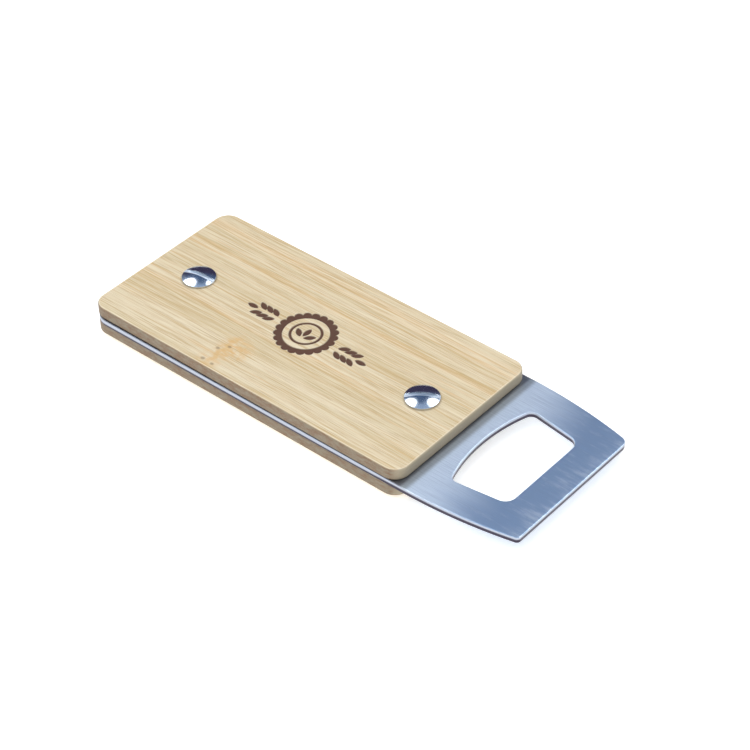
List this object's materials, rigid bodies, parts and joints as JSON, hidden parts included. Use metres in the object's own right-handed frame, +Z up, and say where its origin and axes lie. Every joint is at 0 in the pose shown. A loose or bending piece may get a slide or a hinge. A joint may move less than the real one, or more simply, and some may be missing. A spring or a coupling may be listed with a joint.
{
  "type": "bottle opener",
  "caption": "Flat bottle opener: a steel plate with a cap opening, clamped between two bamboo scales by slotted binding screws.",
  "frame": {"origin": "centre of the overall length and width, at the level the barrel heads rest on", "axes": "+X along the opener towards the cap opening, +Y across it, +Z up out of the engraved top scale"},
  "size_m": [0.1194, 0.0458, 0.0101],
  "materials": {
    "bamboo": "sanded bamboo with laser-burnt brown edges and an engraved ornament",
    "brushed_steel": "brushed along its length",
    "plated_steel": "bright nickel plating"
  },
  "bodies": {
    "body": {"top_scale": "bamboo", "bottom_scale": "bamboo", "opener_plate": "brushed_steel"},
    "front_screw": {"front_screw": "plated_steel"},
    "front_barrel": {"front_barrel": "plated_steel"},
    "rear_screw": {"rear_screw": "plated_steel"},
    "rear_barrel": {"rear_barrel": "plated_steel"}
  },
  "joints": [
    {"name": "front_barrel_turn", "type": "hinge", "parent": "body", "child": "front_barrel", "pos_m": [0.0194, -0.0005, 0], "axis": [0, 0, -1], "range_deg": [0, 2520]},
    {"name": "front_screw_rise", "type": "slide", "parent": "body", "child": "front_screw", "axis": [0, 0, 1], "range_m": [0, 0.0049]},
    {"name": "rear_barrel_turn", "type": "hinge", "parent": "body", "child": "rear_barrel", "pos_m": [-0.0469, -0.0005, 0], "axis": [0, 0, -1], "range_deg": [0, 2520]},
    {"name": "rear_screw_rise", "type": "slide", "parent": "body", "child": "rear_screw", "axis": [0, 0, 1], "range_m": [0, 0.0049]}
  ],
  "couplings": [
    {"joint": "front_barrel_turn", "follows": "front_screw_rise", "rad_per_m": 8975.9},
    {"joint": "rear_barrel_turn", "follows": "rear_screw_rise", "rad_per_m": 8975.9}
  ]
}
